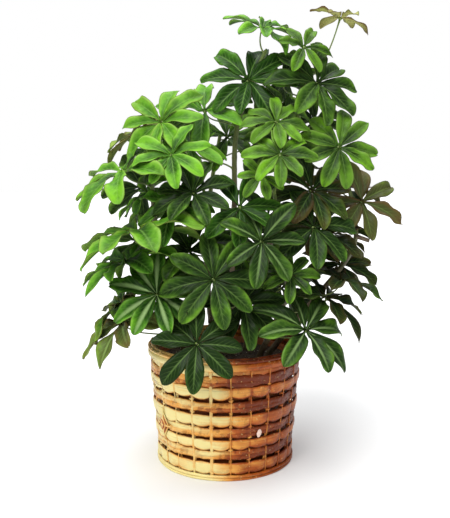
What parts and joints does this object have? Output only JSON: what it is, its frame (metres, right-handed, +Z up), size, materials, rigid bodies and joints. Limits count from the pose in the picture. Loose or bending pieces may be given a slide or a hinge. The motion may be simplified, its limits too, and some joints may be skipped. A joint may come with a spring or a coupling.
{
  "type": "potted umbrella plant",
  "caption": "Bushy dwarf umbrella plant with palmate leaves on woody stems, in a nursery pot that stands inside a splint-woven basket.",
  "frame": {"origin": "centre of the basket's underside, where it stands on a surface", "axes": "+Z up along the basket's axis, -Y the front that the picture shows, +X to the viewer's right"},
  "size_m": [0.5754, 0.4954, 0.8163],
  "materials": {
    "leaf_young": "glossy, waxy leaf",
    "leaf_mature": "glossy, waxy leaf",
    "bark": "rough bark",
    "splint_pale": "satin split wood",
    "splint_russet": "satin stained split wood",
    "cane": "satin split cane",
    "nursery_plastic": "matte",
    "soil": "matte, crumbly"
  },
  "bodies": {
    "root": {"basket_frame": "cane", "splint_band_1": "splint_pale", "splint_band_2": "splint_pale", "splint_band_3": "splint_pale", "splint_band_4": "splint_pale", "weaver_band_1": "splint_russet", "weaver_band_2": "splint_russet", "weaver_band_3": "splint_russet", "weaver_band_4": "splint_russet", "basket_lashing": "cane", "nursery_pot": "nursery_plastic", "soil": "soil", "stem_left_front": "bark", "leaves_left_front": "leaf_young", "stem_left": "bark", "leaves_left": "leaf_young", "stem_centre_front": "bark", "leaves_centre_front": "leaf_mature", "stem_centre": "bark", "leaves_centre": "leaf_young", "stem_right_front": "bark", "leaves_right_front": "leaf_mature", "stem_right": "bark", "leaves_right": "leaf_mature", "stem_right_tall": "bark", "leaves_right_tall": "leaf_mature", "stem_back": "bark", "leaves_back": "leaf_mature"}
  },
  "joints": []
}
